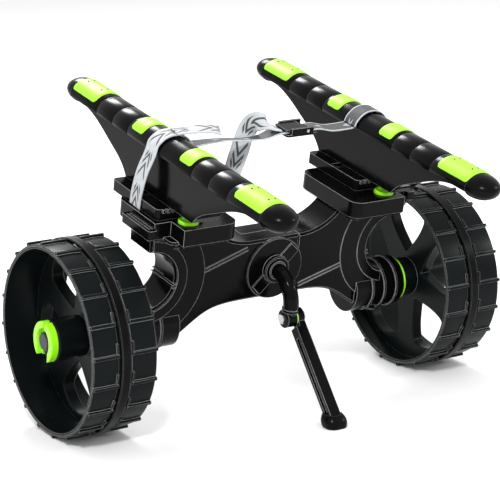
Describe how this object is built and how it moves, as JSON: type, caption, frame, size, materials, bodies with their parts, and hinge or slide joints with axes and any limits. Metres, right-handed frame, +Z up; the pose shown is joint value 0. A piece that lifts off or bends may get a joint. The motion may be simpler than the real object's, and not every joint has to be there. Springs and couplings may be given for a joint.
{
  "type": "kayak cart",
  "caption": "Two-wheeled trolley for a kayak or canoe: lap-jointed frame, padded cradles with a cam-buckle strap, spoked drum wheels and a folding leg.",
  "frame": {"origin": "on the ground under the middle of the whole cart, the centre of the bottom of its box", "axes": "+X along the axle to the right-hand wheel, -Y to the front where the leg stands, +Z up"},
  "size_m": [0.6472, 0.5158, 0.4204],
  "materials": {
    "frame_plastic": "glossy moulded black plastic",
    "wheel_plastic": "satin moulded black plastic",
    "black_rubber": "soft black rubber",
    "lime_rubber": "soft lime rubber",
    "lime_plastic": "glossy lime plastic",
    "black_metal": "black coated steel",
    "steel": "zinc plated steel",
    "bush_plastic": "plain bearing plastic",
    "webbing": "woven polyester webbing with a black pattern"
  },
  "bodies": {
    "root": {"frame_right": "frame_plastic", "frame_left": "frame_plastic", "boss_plate": "frame_plastic", "back_plate": "frame_plastic", "pad_table_right": "frame_plastic", "pad_table_left": "frame_plastic", "strap_block_right": "frame_plastic", "strap_block_left": "frame_plastic", "strap_plate_right": "frame_plastic", "strap_plate_left": "frame_plastic", "axle_stub_right": "black_metal", "axle_stub_left": "black_metal", "axle_washer_right": "lime_plastic", "axle_washer_left": "lime_plastic", "table_screws_right": "black_metal", "table_screws_left": "black_metal", "strap_span_right": "webbing", "strap_span_left": "webbing", "strap_end": "webbing", "buckle_body": "frame_plastic", "buckle_pin": "steel"},
    "leg_arm": {"leg_elbow": "frame_plastic", "knuckle_bolt": "steel", "knuckle_nut": "steel", "knuckle_shim": "lime_plastic"},
    "leg": {"leg_strut": "frame_plastic", "leg_foot": "black_rubber"},
    "buckle_cam": {"buckle_lever": "frame_plastic"},
    "wheel_right": {"wheel_rim_right": "wheel_plastic", "wheel_disc_right": "wheel_plastic", "hub_bush_right": "bush_plastic", "wheel_tread_right": "wheel_plastic", "tread_band_right": "black_rubber"},
    "clip_right": {"wheel_clip_right": "lime_plastic"},
    "pad_right": {"pad_keel_right": "frame_plastic", "pad_cap_right": "black_rubber", "pad_grips_right": "lime_rubber", "pad_noses_right": "black_rubber", "strap_loop_right": "webbing"},
    "button_right": {"release_button_right": "lime_plastic"},
    "wheel_left": {"wheel_rim_left": "wheel_plastic", "wheel_disc_left": "wheel_plastic", "hub_bush_left": "bush_plastic", "wheel_tread_left": "wheel_plastic", "tread_band_left": "black_rubber"},
    "clip_left": {"wheel_clip_left": "lime_plastic"},
    "pad_left": {"pad_keel_left": "frame_plastic", "pad_cap_left": "black_rubber", "pad_grips_left": "lime_rubber", "pad_noses_left": "black_rubber", "strap_loop_left": "webbing", "strap_tail": "webbing"},
    "button_left": {"release_button_left": "lime_plastic"}
  },
  "joints": [
    {"name": "wheel_right_spin", "type": "hinge", "parent": "root", "child": "wheel_right", "pos_m": [0.2733, 0.04273, 0.127], "axis": [1, 0, 0], "continuous": true},
    {"name": "clip_right_slide", "type": "slide", "parent": "root", "child": "clip_right", "axis": [0, -0.1788, 0.9839], "range_m": [0, 0.048]},
    {"name": "pad_right_width", "type": "slide", "parent": "root", "child": "pad_right", "axis": [1, 0, 0], "range_m": [-0.014, 0.014], "deforming": ["strap_loop_right", "strap_span_right"]},
    {"name": "button_right_press", "type": "slide", "parent": "root", "child": "button_right", "axis": [0, 0.1788, -0.9839], "range_m": [0, 0.003], "stiffness_N_per_m": 300, "springref_m": -0.003},
    {"name": "wheel_left_spin", "type": "hinge", "parent": "root", "child": "wheel_left", "pos_m": [-0.2733, 0.04273, 0.127], "axis": [1, 0, 0], "continuous": true},
    {"name": "clip_left_slide", "type": "slide", "parent": "root", "child": "clip_left", "axis": [0, -0.1788, 0.9839], "range_m": [0, 0.048]},
    {"name": "pad_left_width", "type": "slide", "parent": "root", "child": "pad_left", "axis": [1, 0, 0], "range_m": [-0.014, 0.014], "deforming": ["strap_loop_left", "strap_span_left"]},
    {"name": "button_left_press", "type": "slide", "parent": "root", "child": "button_left", "axis": [0, 0.1788, -0.9839], "range_m": [0, 0.003], "stiffness_N_per_m": 300, "springref_m": -0.003},
    {"name": "leg_pull_out", "type": "slide", "parent": "root", "child": "leg_arm", "axis": [0, -0.9839, -0.1788], "range_m": [0, 0.06]},
    {"name": "leg_fold", "type": "hinge", "parent": "leg_arm", "child": "leg", "pos_m": [0.0062, -0.03419, 0.12522], "axis": [1, 0, 0], "range_deg": [0, 115]},
    {"name": "buckle_open", "type": "hinge", "parent": "root", "child": "buckle_cam", "pos_m": [0.046, 0.00903, 0.36836], "axis": [0, 0.9839, 0.1788], "range_deg": [0, 95]}
  ]
}
